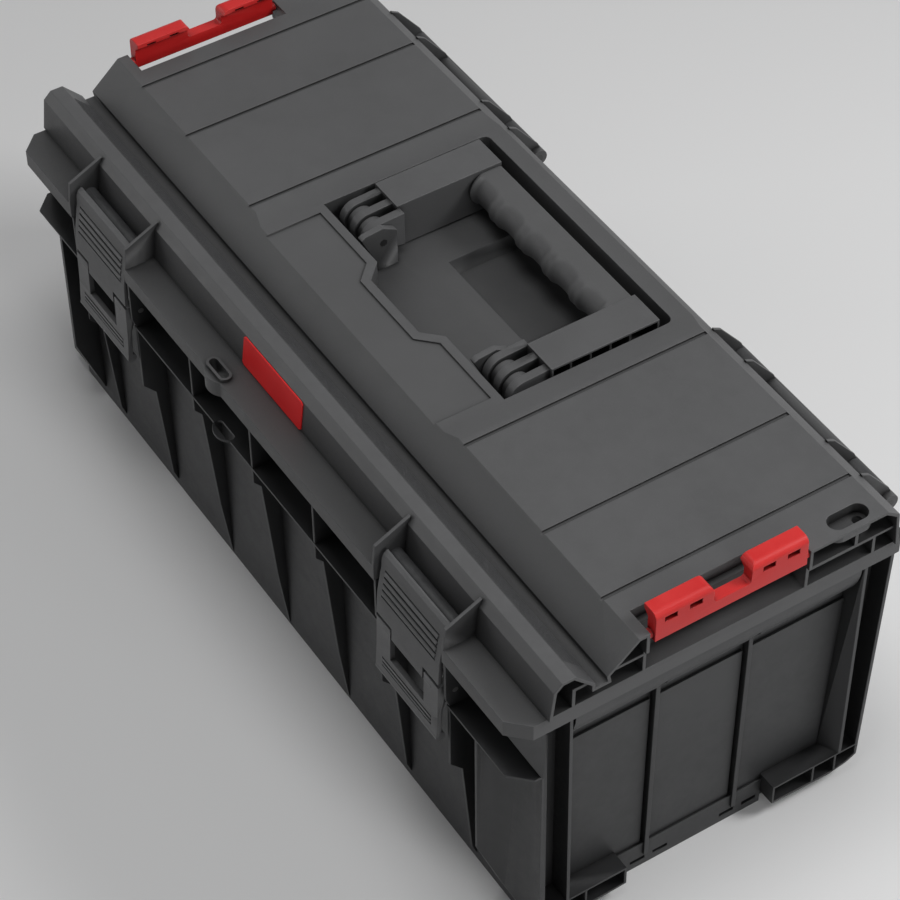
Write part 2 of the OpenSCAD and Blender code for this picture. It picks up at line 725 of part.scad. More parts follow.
// Latch hook: a bowed plate with a tongue down to its pin and a lip over the catch bar
module latch_hook(side) translate([side * latch_x, 0, 0]) color("#3d3e40") difference() {
    lip = [catch_at[0] - catch_dia / 2 - lip_gap, hook_pin[1] + hook_h];
    union() {
        along_x(-latch_half, latch_half) {
            polygon(sheet(hook_path, hook_t));
            polygon([hook_path[7], hook_path[7] + [hook_t * lip_root_share, 0],
                lip - [0, hook_t * lip_front_share], lip - [0, lip_h],
                [hook_path[5][0] + hook_t / 2, lip[1] - lip_h * lip_foot_share],
                hook_path[6] + [hook_t / 2, 0]]);
        }
        rod_x(-tongue_w / 2, tongue_w / 2, hook_pin, hook_pin_dia + boss_wall * 2);
    }
    for (m = [0, 1]) mirror([m, 0, 0]) box([tongue_w / 2, front_y - flange_d * 2, part_z - lid_h * 2],
        [latch_half + over, front_y, hook_pin[1] + hook_arm_share * hook_h]);
    for (s = hook_groove_shares) hook_groove(s);
    rod_x(-tongue_w / 2 - over, tongue_w / 2 + over, hook_pin, hook_pin_dia + fit * 2);
}
module hook_groove(s) {
    y = hook_out + lookup(s, [for (p = hook_shares) [p[1], p[0]]]) * hook_h + groove_cut;
    z = hook_pin[1] + s * hook_h;
    x = latch_half * hook_groove_l_share;
    box([-x, y - flange_d, z], [x, y, z + groove_cut * 2]);
}
module latch_hook_left() latch_hook(-1);
module latch_hook_right() latch_hook(1);

module hook_pin_rod(side) color("#77797c") rod_x(side * latch_x - window_half - boss_w,
    side * latch_x + window_half + boss_w, hook_pin, hook_pin_dia);
module hook_pin_left() hook_pin_rod(-1);
module hook_pin_right() hook_pin_rod(1);

module lever_pin_rod(side) color("#77797c") rod_x(side * latch_x - web_pitch / 2 - web_t / 2,
    side * latch_x + web_pitch / 2 + web_t / 2, lever_pin, lever_pin_dia);
module lever_pin_left() lever_pin_rod(-1);
module lever_pin_right() lever_pin_rod(1);

module hinge_rod(share) color("#77797c") rod_x(share * half_l - fin_outer / 2 - fin_t / 2,
    share * half_l + fin_outer / 2 + end_barrel_l, hinge_axis, rod_dia);
module hinge_rod_left() hinge_rod(hinge_x_shares[0]);
module hinge_rod_right() hinge_rod(hinge_x_shares[1]);

// End clip: a bar on its pin with two hooked blocks
module end_clip_shape() {
    top = deck_h + clip_rise;
    low = deck_h - clip_drop;
    in = clip_face - clip_t;
    tip = clip_face - clip_hook_t;
    dip = deck_h + clip_dip_gap;
    difference() {
        union() {
            intersection() {
                along_y(-clip_l / 2, clip_l / 2) polygon(concat([[in, low], [clip_face, low]],
                    arc([clip_face - clip_r, top - clip_r], clip_r, 0, 90, 6),
                    [[tip, top], [tip, top - clip_rise / 4], [in, top - clip_rise / 2]]));
                both_sides() along_x(tip - over, clip_face + over) polygon(concat(
                    [[clip_l / 2, low], [clip_l / 2, top], [clip_dip_half + clip_r, top]],
                    arc([clip_dip_half + clip_r, top - clip_r], clip_r, 90, 180, 6),
                    arc([clip_dip_half - clip_r / 2, dip + clip_r / 2], clip_r / 2, 0, -90, 4),
                    [[-over, dip], [-over, low]]));
            }
            rod_y(-notch_half + gap, notch_half - gap, clip_pin, clip_pin_dia + clip_pin_wall * 2);
        }
        both_sides() for (y = clip_window_y) {
            translate([clip_face, y, low + clip_window_share * (top - low) + clip_window_rise])
                cube([clip_t, clip_window[0], clip_window[1]], center = true);
            box([tip - over, y - clip_slot_w, top - clip_slot_low],
                [tip + clip_slot_w, y + clip_slot_w, top - clip_slot_top]);
        }
        rod_y(-clip_l, clip_l, clip_pin, clip_pin_dia + fit * 2);
    }
}
module end_clip_left() color("#e83232") mirror([1, 0, 0]) end_clip_shape();
module end_clip_right() color("#e83232") end_clip_shape();

// Tub: a drafted box, its rim and sealing tongue
function drafted(y0, y1, d0, d1, low, top) = [[y0 + d0, low], [y1 - d1, low], [y1, top], [y0, top]];
module tub_box() {
    rear = rear_y + rear_bulge;
    difference() {
        intersection() {
            along_x(-half_l, half_l)
                polygon(drafted(front_y, rear, draft_front, draft_rear, 0, rim_top));
            along_y(front_y * 2, rear_y * 2)
                polygon(drafted(-wall_x, wall_x, draft_end, draft_end, 0, rim_top));
        }
        intersection() {
            along_x(-half_l, half_l)
                polygon(drafted(front_y + wall, rear - wall, draft_front, draft_rear, wall, rim_top + over));
            along_y(front_y * 2, rear_y * 2)
                polygon(drafted(wall - wall_x, wall_x - wall, draft_end, draft_end, wall, rim_top + over));
        }
    }
    upright(rim_top - rim_t, rim_top) difference() {
        square([(wall_x + rim_out) * 2, (rear_y + rim_out) * 2], center = true);
        square([(wall_x - rim_in) * 2, (rear_y - rim_in) * 2], center = true);
    }
    upright(rim_top - rim_t, rim_top + tongue_h)
        frame(wall_x - tongue_in + wall, rear_y - tongue_in, tongue_t);
}

// Upright webs, latch gussets and the lower flange along the front
module tub_front() {
    for (i = [-1 : 1]) web_at(i * web_pitch, web_t) polygon(on_front(web_shares, flange_d, part_z));
    both_ends() for (x = [latch_x - web_pitch / 2, latch_x + web_pitch / 2])
        web_at(x, web_t) polygon(on_front(gusset_shares, flange_d, part_z));
    difference() {
        union() {
            upright(shelf_z - shelf_t, shelf_z) shelf_plan();
            eye_lobe(shelf_z - shelf_t, shelf_z, eye_reach / 2);
        }
        both_ends() box([latch_x - pocket_half, front_y - flange_d * 2, 0],
            [latch_x + pocket_half, front_y, part_z]);
        eye_slot(0, part_z, 0);
    }
}
module shelf_plan() {
    x = post_x;
    y = front_y - shelf_d;
    polygon([[-x, front_y + wall / 2], [-x, y + front_chamfer], [front_chamfer - x, y],
        [x - front_chamfer, y], [x, y + front_chamfer], [x, front_y + wall / 2]]);
}

// Hollow wings at the front corners: a web, and a skin that curves in from its edge
// to the corner post; the lower end is bevelled back to the wall
function wing_arc(grow) = [for (i = [0 : arc_parts])
    let (a = right_angle * i / arc_parts)
        [post_x - (wing_l - web_t + grow) * cos(a), wing_y + (shelf_d - wall / 2 + grow) * sin(a)]];
module wing_plan() polygon(concat([[post_x - wing_l, front_y + wall / 2], [post_x - wing_l, wing_y]],
    wing_arc(0), [[post_x, front_y + wall / 2]]));
module wing_void() difference() {
    square_span(post_x - wing_l + web_t, post_x - wall, wing_y, front_y);
    polygon(concat(wing_arc(wall), [[post_x, wing_y - over], [post_x - wing_l - wall, wing_y - over]]));
}
module wing_bevel(inset) polygon([[front_y + wall, wing_top - inset], [wing_y - over, wing_top - inset],
    [wing_y - over, wing_bevel_top + inset], [wing_y, wing_bevel_top + inset],
    [front_y, wing_bevel_bottom + inset], [front_y + wall, wing_bevel_bottom + inset]]);
module tub_wings() both_ends() {
    difference() {
        intersection() {
            upright(0, part_z) wing_plan();
            along_x(0, half_l) wing_bevel(0);
        }
        intersection() {
            upright(0, part_z) wing_void();
            along_x(0, half_l) wing_bevel(wall);
        }
    }
    translate([post_x, front_y - wall / 2, 0]) rotate([0, 0, -corner_turn]) along_x(-wall, 0)
        polygon([[wall / 2, shelf_z - shelf_t], [wall / 2, rim_top], [-corner_reach, rim_top],
            [0, shelf_z - shelf_t]]);
}

// Ends: channelled corner posts, cove, ribs, plinth and feet
module tub_ends() both_ends() {
    root_x = wall_x - draft_end - wall;
    post_plate(front_y, wall, draft_front);
    post_plate(rear_y + rear_bulge, -wall, -draft_rear);
    both_sides() hull() {
        post_slice(post_lean, 0, rim_top - post_slice_h);
        post_slice(post_lean_low, post_draft, foot_top - foot_wall);
    }
    difference() {
        along_y(cove_gap + wall - rear_y + post_gap, rear_y - post_gap - wall - cove_gap) cove_section();
        for (y = rib_y) box([wall_x, y - rib_w / 2 - rib_groove, rim_top - rib_top_drop - cove_drop],
            [post_x + over, y + rib_w / 2 + rib_groove, rim_top - rib_top_drop]);
    }
    for (i = [0 : len(rib_y)]) along_y(bay_edges[i * 2], bay_edges[i * 2 + 1])
        bay_section(bay_out, wall / 2, plinth_h / 2, slot_z - slot_line_h);
    for (y = rib_y) along_y(y - rib_w / 2, y + rib_w / 2)
        bay_section(rib_d, wall / 2, plinth_h / 2, rim_top - rib_top_drop + wall / 2);
    box([root_x, -foot_in_front, 0], [wall_x + plinth_out, foot_in_rear, plinth_h]);
    along_x(root_x, post_x) polygon(foot_outline(foot_in_rear, foot_out_rear));
    mirror([0, 1, 0]) along_x(root_x, post_x) polygon(foot_outline(foot_in_front, foot_out_front));
}
module post_plate(y, t, lean) {
    low = lean * (1 - post_bottom / rim_top);
    along_x(wall_x - draft_end - wall, post_x)
        polygon([[y + low, post_bottom], [y, rim_top], [y + t, rim_top], [y + t + low, post_bottom]]);
}
module post_slice(root, draft, z) {
    y = rear_y - post_gap - draft;
    x = wall_x - draft_end - post_root;
    upright(z, z + post_slice_h) polygon([[x, y - root + draft], [wall_x, y - root + draft],
        [post_x, y - wall], [post_x, y], [x, y]]);
}
module cove_section() polygon(concat([[wall_x - wall, rim_top]],
    [for (i = [0 : cove_parts]) let (a = cove_angle * i / cove_parts)
        [post_x - cove_d * (1 - cos(a)) / (1 - cos(cove_angle)),
        rim_top - cove_drop * sin(a) / sin(cove_angle)]],
    [[wall_x - wall, slot_z]]));
module bay_section(out, back, low, top) polygon([[wall_x - draft_end - back, low],
    [wall_x - draft_end * (1 - low / rim_top) + out, low],
    [wall_x - draft_end * (1 - top / rim_top) + out, top], [wall_x - draft_end - back, top]]);
function foot_outline(from, to) = [for (s = foot_shares)
    [from + s[0] * (to - from), foot_bottom + s[1] * (foot_top - foot_bottom)]];
module foot_cells(from, to) along_x(wall_x + foot_wall, post_x + over) for (i = [0 : 2]) intersection() {
    polygon(closed_inset(foot_outline(from, to), -foot_wall));
    square_span(from + foot_cell_shares[i] * (to - from) + foot_wall / 2,
        from + foot_cell_shares[i + 1] * (to - from) - foot_wall / 2, 0, plinth_h * 2);
}

// Knuckles on the rear wall that the hinge rods pass through
module tub_hinges() for (s = hinge_x_shares) for (m = [-1, 1]) {
    gx = s * half_l + m * (fin_outer + fin_inner) / 4;
    len = (fin_outer - fin_inner) / 2 - fin_t - gap * 2;
    rod_x(gx - len / 2, gx + len / 2, hinge_axis, barrel_dia);
    for (e = [-1, 1]) web_at(gx + e * (len - fin_t * 2) / 2, fin_t * 2)
        polygon([for (p = knuckle_web_shares)
            [rear_y + p[0] * hinge_out, rim_top - gap + p[1] * (hinge_axis[1] - part_z)]]);
}

module tub() color("#2d2e30") difference() {
    union() {
        tub_box();
        tub_front();
        tub_wings();
        tub_ends();
        tub_hinges();
    }
    both_ends() both_sides() for (y = plinth_slot_y)
        box([wall_x - draft_end - wall * 2, y - plinth_slot_l / 2, plinth_slot_z - plinth_slot_h / 2],
            [wall_x + plinth_out + over, y + plinth_slot_l / 2, plinth_slot_z + plinth_slot_h / 2]);
    both_ends() for (i = [0 : len(rib_y)])
        along_y(max(bay_edges[i * 2], post_lean_low - root_y) + wall,
            min(bay_edges[i * 2 + 1], root_y - post_lean_low) - wall)
            bay_section(bay_out - wall, wall * 2, plinth_h, slot_z - slot_line_h - wall);
    both_ends() {
        foot_cells(foot_in_rear, foot_out_rear);
        mirror([0, 1, 0]) foot_cells(foot_in_front, foot_out_front);
    }
    both_ends() rod_x(latch_x - web_pitch, latch_x + web_pitch, lever_pin, lever_pin_dia + fit * 2);
    for (s = hinge_x_shares)
        rod_x(s * half_l - fin_outer, s * half_l + fin_outer, hinge_axis, rod_dia + fit * 2);
}

tub();
hinge_rod_left();
hinge_rod_right();
lever_pin_left();
lever_pin_right();
lid_shell();
lid_inner_panel();
lid_gasket();
label_plate();
catch_bar_left();
catch_bar_right();
handle_pin_left();
handle_pin_right();
clip_pin_left();
clip_pin_right();
handle_frame();
handle_grip();
latch_lever_left();
latch_lever_right();
hook_pin_left();
hook_pin_right();
latch_hook_left();
latch_hook_right();
end_clip_left();
end_clip_right();
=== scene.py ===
import math

import bmesh
import bpy
from mathutils import Matrix, Vector
from mathutils.kdtree import KDTree


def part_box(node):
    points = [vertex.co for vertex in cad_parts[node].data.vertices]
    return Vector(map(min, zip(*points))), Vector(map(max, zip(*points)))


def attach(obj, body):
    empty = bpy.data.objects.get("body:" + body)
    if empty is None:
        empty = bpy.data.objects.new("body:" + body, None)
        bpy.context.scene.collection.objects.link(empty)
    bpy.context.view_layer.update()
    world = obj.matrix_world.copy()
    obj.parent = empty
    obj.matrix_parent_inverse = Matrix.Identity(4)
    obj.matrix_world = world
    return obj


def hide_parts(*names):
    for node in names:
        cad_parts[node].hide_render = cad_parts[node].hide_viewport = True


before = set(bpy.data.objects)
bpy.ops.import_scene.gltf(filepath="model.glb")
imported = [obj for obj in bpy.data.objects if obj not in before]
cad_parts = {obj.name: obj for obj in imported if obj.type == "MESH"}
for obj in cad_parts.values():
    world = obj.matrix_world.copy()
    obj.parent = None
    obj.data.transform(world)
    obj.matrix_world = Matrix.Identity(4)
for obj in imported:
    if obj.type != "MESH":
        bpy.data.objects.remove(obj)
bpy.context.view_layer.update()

scene = bpy.context.scene
scene.view_settings.view_transform = "Standard"

# ---------------------------------------------------------------------------
# Tub: one large black polypropylene moulding with a fine spark-eroded grain.
# The webs, gussets, corner wings, end posts, plinth, feet and hinge knuckles
# are moulded with it, and its long edges are rubbed a little paler.
# ---------------------------------------------------------------------------
tub_colour = (0.040, 0.0405, 0.042)
tub_rubbed = (0.078, 0.079, 0.082)

weld_reach = 2e-5
flat_angle = math.radians(0.3)
corner_angle = math.radians(28.0)
smooth_angle = math.radians(20)
room_per_round = 2.2
round_segments = 2
fold_tries = 5
fold_lean = 0.3
fold_reach = 3
least_lean = 1e-9
face_weight = 80


def new_object(name, data):
    """An object with this data, linked to the scene."""
    made = bpy.data.objects.new(name, data)
    scene.collection.objects.link(made)
    return made


def folded_corners(form):
    """The corners of the triangles that lean away from their own face."""
    corners = []
    for loops in form.calc_loop_triangles():
        first, second, third = (loop.vert.co for loop in loops)
        lean = (second - first).cross(third - first)
        if lean.length > least_lean and lean.normalized().dot(loops[0].face.normal) < fold_lean:
            corners += [first.copy(), second.copy(), third.copy()]
    return corners


def rounded_copy(shape, soft, round_r):
    """A copy with these edges rounded, apart from edges where the rounding folds a face."""
    for attempt in range(fold_tries):
        rounded = shape.copy()
        rounded.edges.ensure_lookup_table()
        bmesh.ops.bevel(
            rounded, geom=[rounded.edges[i] for i in soft], offset=round_r,
            offset_type="OFFSET", segments=round_segments, profile=0.5, affect="EDGES",
            clamp_overlap=False, loop_slide=True)
        rounded.normal_update()
        folds = folded_corners(rounded)
        if not folds:
            return rounded
        rounded.free()
        near = KDTree(len(folds))
        for i, spot in enumerate(folds):
            near.insert(spot, i)
        near.balance()
        shape.edges.ensure_lookup_table()
        clear = []
        for i in soft:
            ends = shape.edges[i].verts
            if min(near.find(v.co)[2] for v in ends) > fold_reach * round_r:
                clear.append(i)
            else:
                shape.edges[i].smooth = False
        soft = clear
    return shape.copy()


def moulding_of(node, body, name, round_r):
    """A copy of a packed moulding with softened outer edges, in its place."""
    shape = bmesh.new()
    shape.from_mesh(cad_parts[node].data)
    bmesh.ops.remove_doubles(shape, verts=shape.verts, dist=weld_reach)
    bmesh.ops.dissolve_limit(
        shape, angle_limit=flat_angle, verts=shape.verts, edges=shape.edges)
    room = {
        v.index: min((e.calc_length() for e in v.link_edges), default=0)
        for v in shape.verts}
    soft = []
    for edge in shape.edges:
        turn = edge.calc_face_angle(0)
        corner = edge.is_manifold and edge.is_convex and turn > corner_angle
        fits = corner and min(room[v.index] for v in edge.verts) > room_per_round * round_r
        edge.smooth = fits or not edge.is_manifold or turn < smooth_angle
        if fits:
            soft.append(edge.index)
    rounded = rounded_copy(shape, soft, round_r)
    for face in rounded.faces:
        face.smooth = True
    data = bpy.data.meshes.new(name)
    rounded.to_mesh(data)
    rounded.free()
    shape.free()
    piece = new_object(name, data)
    level = piece.modifiers.new("flat_faces_stay_flat", "WEIGHTED_NORMAL")
    level.weight = face_weight
    level.keep_sharp = True
    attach(piece, body)
    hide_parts(node)
    return piece


# The grain is finest in the specks, coarser in the scuffs and broad in the
# mottle. Painted shade darkens the narrow grooves, and less of it the wide hollows.
mottle_scale = 9.0
scuff_scale = 60.0
mottle_dark, mottle_pale = 0.92, 1.09
powder_pale, powder_lift = 1.45, 0.004
painted_shade_share = 0.15
hollow_samples = 6
narrow_groove_shade = {"reach": 0.005, "deepest": 0.50, "open": 0.97, "most": 0.95}
wide_hollow_shade = {"reach": 0.08, "deepest": 0.40, "open": 0.97, "most": 0.75}
grain_depth = 0.0003


def new_material(name):
    """A material with nodes, its tree and its surface shader."""
    material = bpy.data.materials.new(name)
    material.use_nodes = True
    return material, material.node_tree, material.node_tree.nodes["Principled BSDF"]


def noise(tree, place, scale, detail, rough=0.5):
    """A cloudy pattern over a place, around one half."""
    cloud = tree.nodes.new("ShaderNodeTexNoise")
    cloud.inputs["Scale"].default_value = scale
    cloud.inputs["Detail"].default_value = detail
    cloud.inputs["Roughness"].default_value = rough
    tree.links.new(place, cloud.inputs["Vector"])
    return cloud.outputs["Fac"]


def spread(tree, source, low, high, to_low, to_high, kind="LINEAR"):
    """A value stretched from one range to another."""
    ramp = tree.nodes.new("ShaderNodeMapRange")
    ramp.interpolation_type = kind
    ramp.inputs["From Min"].default_value = low
    ramp.inputs["From Max"].default_value = high
    ramp.inputs["To Min"].default_value = to_low
    ramp.inputs["To Max"].default_value = to_high
    tree.links.new(source, ramp.inputs["Value"])
    return ramp.outputs["Result"]


def blend(tree, low, high, share):
    """A mix of two colours by a share. Each colour is numbers or another node's."""
    mix = tree.nodes.new("ShaderNodeMix")
    mix.data_type = "RGBA"
    for name, colour in (("A", low), ("B", high)):
        if isinstance(colour, tuple):
            mix.inputs[name].default_value = (*colour, 1)
        else:
            tree.links.new(colour, mix.inputs[name])
    tree.links.new(share, mix.inputs["Factor"])
    return mix.outputs["Result"]


def combined(tree, operation, first, second):
    """Two values put together by one operation."""
    sum_of = tree.nodes.new("ShaderNodeMath")
    sum_of.operation = operation
    tree.links.new(first, sum_of.inputs[0])
    tree.links.new(second, sum_of.inputs[1])
    return sum_of.outputs["Value"]


def raise_grain(tree, shader, height, strength, depth):
    """Relief too fine to model, from a pattern's height."""
    bump = tree.nodes.new("ShaderNodeBump")
    bump.inputs["Strength"].default_value = strength
    bump.inputs["Distance"].default_value = depth
    tree.links.new(height, bump.inputs["Height"])
    tree.links.new(bump.outputs["Normal"], shader.inputs["Normal"])


def scaled(colour, by, lift=0.0):
    """A colour made darker or paler."""
    return tuple(c * by + lift for c in colour)


def moulded_plastic(name, colour, rubbed, rough, grain, relief, dust=0.35, shine=0.34):
    """A plastic with eroded grain, mottling, dust, paler edges and painted shade in hollows."""
    material, tree, shader = new_material(name)
    shader.inputs["Specular IOR Level"].default_value = shine
    place = tree.nodes.new("ShaderNodeTexCoord").outputs["Object"]
    mottle = noise(tree, place, mottle_scale, 4.0, 0.6)
    speck = noise(tree, place, grain, 3.0, 0.65)
    scuff = noise(tree, place, scuff_scale, 6.0, 0.75)
    tone = blend(
        tree, scaled(colour, mottle_dark), scaled(colour, mottle_pale),
        spread(tree, mottle, 0.3, 0.7, 0.0, 1.0))
    tone = blend(
        tree, tone, scaled(colour, powder_pale, powder_lift),
        spread(tree, speck, 0.45, 0.75, 0.0, dust))
    form = tree.nodes.new("ShaderNodeNewGeometry")
    edges = spread(tree, form.outputs["Pointiness"], 0.52, 0.62, 0.0, 1.0)
    patches = spread(tree, scuff, 0.35, 0.65, 0.25, 1.0)
    tone = blend(tree, tone, rubbed, combined(tree, "MULTIPLY", edges, patches))
    # Painted shade: the colour darkens where occlusion says little light reaches, in grooves
    # and in hollows under and between parts.
    for kind in (narrow_groove_shade, wide_hollow_shade):
        hollow = tree.nodes.new("ShaderNodeAmbientOcclusion")
        hollow.samples = hollow_samples
        hollow.only_local = True
        hollow.inputs["Distance"].default_value = kind["reach"]
        painted_shade = spread(
            tree, hollow.outputs["AO"], kind["deepest"], kind["open"], kind["most"], 0.0)
        tone = blend(tree, tone, scaled(colour, painted_shade_share), painted_shade)
    tree.links.new(tone, shader.inputs["Base Color"])
    tree.links.new(
        spread(tree, scuff, 0.3, 0.7, rough - 0.06, rough + 0.07),
        shader.inputs["Roughness"])
    raise_grain(tree, shader, speck, relief, grain_depth)
    return material


tub_plastic = moulded_plastic(
    "tub_plastic", tub_colour, tub_rubbed, rough=0.44, grain=1500.0, relief=0.35)
tub = moulding_of("tub", "case_body", "case_tub", round_r=0.0005)
tub.data.materials.append(tub_plastic)

# ---------------------------------------------------------------------------
# Lid: one dark grey moulding in the same plastic, with the rail, the deck, the
# well for the handle, the band round its lower edge and the hinge fins. It is
# a shade paler than the tub because its grain is finer and it takes the light.
# ---------------------------------------------------------------------------
lid_colour = (0.084, 0.0843, 0.086)
lid_rubbed = (0.125, 0.126, 0.129)
lid_plastic = moulded_plastic(
    "lid_plastic", lid_colour, lid_rubbed, rough=0.46, grain=1700.0, relief=0.30,
    dust=0.28)
lid = moulding_of("lid_shell", "lid", "lid_top", round_r=0.0005)
lid.data.materials.append(lid_plastic)

# The falling side of the rail carries a strip of fine raised points, moulded
# into the lid, so that a hand or a strap doesn't slip along it.
rail_high = Vector((0, -0.13756, 0.31598))
rail_low = Vector((0, -0.11997, 0.29706))
strip_l = 0.752
strip_pitch = 0.0019
strip_rows = 11
strip_middle = 0.50
point_size = 0.00125
point_rise = 0.00035
point_sides = 4
point_tip = 0.0001
point_least, point_most = 0.7, 1.15
point_lift = 0.45
points_seed = 7


def new_group(name, sockets):
    """A group of geometry nodes with named inputs, and its two end nodes."""
    group = bpy.data.node_groups.new(name, "GeometryNodeTree")
    for socket_name, kind in sockets:
        group.interface.new_socket(
            socket_name, in_out="INPUT", socket_type="NodeSocket" + kind)
    group.interface.new_socket(
        "Geometry", in_out="OUTPUT", socket_type="NodeSocketGeometry")
    ends = (group.nodes.new("NodeGroupInput"), group.nodes.new("NodeGroupOutput"))
    return group, *ends


def finish_group(group, given, made, spots):
    """Makes a group's copies real, paints them and sends them out."""
    real = group.nodes.new("GeometryNodeRealizeInstances")
    paint = group.nodes.new("GeometryNodeSetMaterial")
    group.links.new(spots.outputs["Instances"], real.inputs["Geometry"])
    group.links.new(real.outputs["Geometry"], paint.inputs["Geometry"])
    group.links.new(given.outputs["Material"], paint.inputs["Material"])
    group.links.new(paint.outputs["Geometry"], made.inputs["Geometry"])


def keep_result(piece, group, values):
    """Runs a group on a piece with these inputs and keeps the finished mesh."""
    step = piece.modifiers.new(group.name, "NODES")
    step.node_group = group
    for socket in group.interface.items_tree:
        if socket.in_out == "INPUT" and socket.name in values:
            step[socket.identifier] = values[socket.name]
    view = bpy.context.evaluated_depsgraph_get()
    finished = bpy.data.meshes.new_from_object(piece.evaluated_get(view))
    piece.modifiers.remove(step)
    piece.data = finished
    return finished


strip_group, strip_in, strip_out = new_group("rail_points", (
    ("Geometry", "Geometry"), ("Length", "Float"), ("Width", "Float"),
    ("Columns", "Int"), ("Rows", "Int"), ("Point Size", "Float"),
    ("Point Rise", "Float"), ("Seed", "Int"), ("Material", "Material")))
grid = strip_group.nodes.new("GeometryNodeMeshGrid")
cone = strip_group.nodes.new("GeometryNodeMeshCone")
cone.fill_type = "NONE"
cone.inputs["Vertices"].default_value = point_sides
cone.inputs["Radius Top"].default_value = point_tip
uneven = strip_group.nodes.new("FunctionNodeRandomValue")
uneven.inputs[2].default_value = point_least
uneven.inputs[3].default_value = point_most
strip_spots = strip_group.nodes.new("GeometryNodeInstanceOnPoints")
for source, target in (
        (strip_in.outputs["Length"], grid.inputs["Size X"]),
        (strip_in.outputs["Width"], grid.inputs["Size Y"]),
        (strip_in.outputs["Columns"], grid.inputs["Vertices X"]),
        (strip_in.outputs["Rows"], grid.inputs["Vertices Y"]),
        (strip_in.outputs["Point Size"], cone.inputs["Radius Bottom"]),
        (strip_in.outputs["Point Rise"], cone.inputs["Depth"]),
        (strip_in.outputs["Seed"], uneven.inputs["Seed"]),
        (grid.outputs["Mesh"], strip_spots.inputs["Points"]),
        (cone.outputs["Mesh"], strip_spots.inputs["Instance"]),
        (uneven.outputs[1], strip_spots.inputs["Scale"])):
    strip_group.links.new(source, target)
finish_group(strip_group, strip_in, strip_out, strip_spots)

strip_plastic = moulded_plastic(
    "strip_plastic", (0.040, 0.0405, 0.042), (0.09, 0.091, 0.094), rough=0.62,
    grain=900.0, relief=0.5, dust=0.5)
strip = new_object("rail_grip_strip", bpy.data.meshes.new("rail_grip_strip"))
strip_mesh = keep_result(strip, strip_group, {
    "Length": strip_l, "Width": strip_pitch * (strip_rows - 1),
    "Columns": round(strip_l / strip_pitch) + 1, "Rows": strip_rows,
    "Point Size": point_size, "Point Rise": point_rise, "Seed": points_seed,
    "Material": strip_plastic})
downhill = (rail_low - rail_high).normalized()
outward = Vector((1, 0, 0)).cross(downhill)
outward = outward if outward.z > 0 else -outward
level_side = downhill.cross(outward)
middle = rail_high.lerp(rail_low, strip_middle) + outward * point_rise * point_lift
facing = Matrix((level_side, downhill, outward)).transposed().to_4x4()
strip_mesh.transform(Matrix.Translation(middle) @ facing)
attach(strip, "lid")

# ---------------------------------------------------------------------------
# Inner panel: a thin black moulded plate welded under the lid. It closes the
# hollow of the lid and carries a shallow groove all round.
# ---------------------------------------------------------------------------
panel_plastic = moulded_plastic(
    "panel_plastic", (0.045, 0.0455, 0.047), (0.07, 0.071, 0.073), rough=0.55,
    grain=1200.0, relief=0.3)
panel = moulding_of("lid_inner_panel", "lid", "inner_panel", round_r=0.0005)
panel.data.materials.append(panel_plastic)

# ---------------------------------------------------------------------------
# Gasket: a closed-cell black foam rubber cord pressed into the groove of the
# lid's band, dull and slightly porous.
# ---------------------------------------------------------------------------
foam_rubber = moulded_plastic(
    "foam_rubber", (0.018, 0.018, 0.0185), (0.03, 0.03, 0.031), rough=0.82,
    grain=2600.0, relief=0.8, dust=0.6, shine=0.25)
gasket = moulding_of("lid_gasket", "lid", "foam_gasket", round_r=0.0012)
gasket.data.materials.append(foam_rubber)

# ---------------------------------------------------------------------------
# Label plate: a bare bright red plastic plate clipped on the sloping front of
# the rail. Its face is smooth and a little glossy, its edges are rounded.
# ---------------------------------------------------------------------------
plate_red = moulded_plastic(
    "plate_red", (0.88, 0.012, 0.014), (0.92, 0.05, 0.05), rough=0.42, grain=700.0,
    relief=0.06, dust=0.04, shine=0.35)
label = moulding_of("label_plate", "lid", "label_plate_red", round_r=0.0004)
label.data.materials.append(plate_red)

# ---------------------------------------------------------------------------
# Catch bars: smooth black moulded bars snapped between the gussets of the lid,
# which the latch hooks pull on. The hooks polish them over the years.
# ---------------------------------------------------------------------------
bar_plastic = moulded_plastic(
    "bar_plastic", (0.036, 0.0365, 0.038), (0.09, 0.091, 0.094), rough=0.36,
    grain=1100.0, relief=0.12, dust=0.2)
for side in ("left", "right"):
    bar = moulding_of(
        "catch_bar_" + side, "lid", "catch_rod_" + side, round_r=0.0006)
    bar.data.materials.append(bar_plastic)

# ---------------------------------------------------------------------------
# Pins and rods: plain drawn steel, pushed into their bores. They show only as
# small ends at the latches, the clips, the handle and the hinges. The hinge
# rods and the handle's pins are blackened.
# ---------------------------------------------------------------------------
line_scales = {"x": (4, 900, 900), "y": (900, 4, 900)}
steel_smoothest, steel_roughest = 0.28, 0.48


def drawn_steel(name, along, dull, bright):
    """Steel wire drawn along one axis, with fine lengthwise lines."""
    material, tree, shader = new_material(name)
    shader.inputs["Metallic"].default_value = 1.0
    place = tree.nodes.new("ShaderNodeTexCoord")
    turn = tree.nodes.new("ShaderNodeMapping")
    turn.inputs["Scale"].default_value = line_scales[along]
    tree.links.new(place.outputs["Object"], turn.inputs["Vector"])
    lines = noise(tree, turn.outputs["Vector"], 1.0, 3.0)
    tone = blend(tree, (dull,) * 3, (bright,) * 3, lines)
    tree.links.new(tone, shader.inputs["Base Color"])
    tree.links.new(
        spread(tree, lines, 0.0, 1.0, steel_smoothest, steel_roughest),
        shader.inputs["Roughness"])
    raise_grain(tree, shader, lines, strength=0.15, depth=0.0001)
    return material


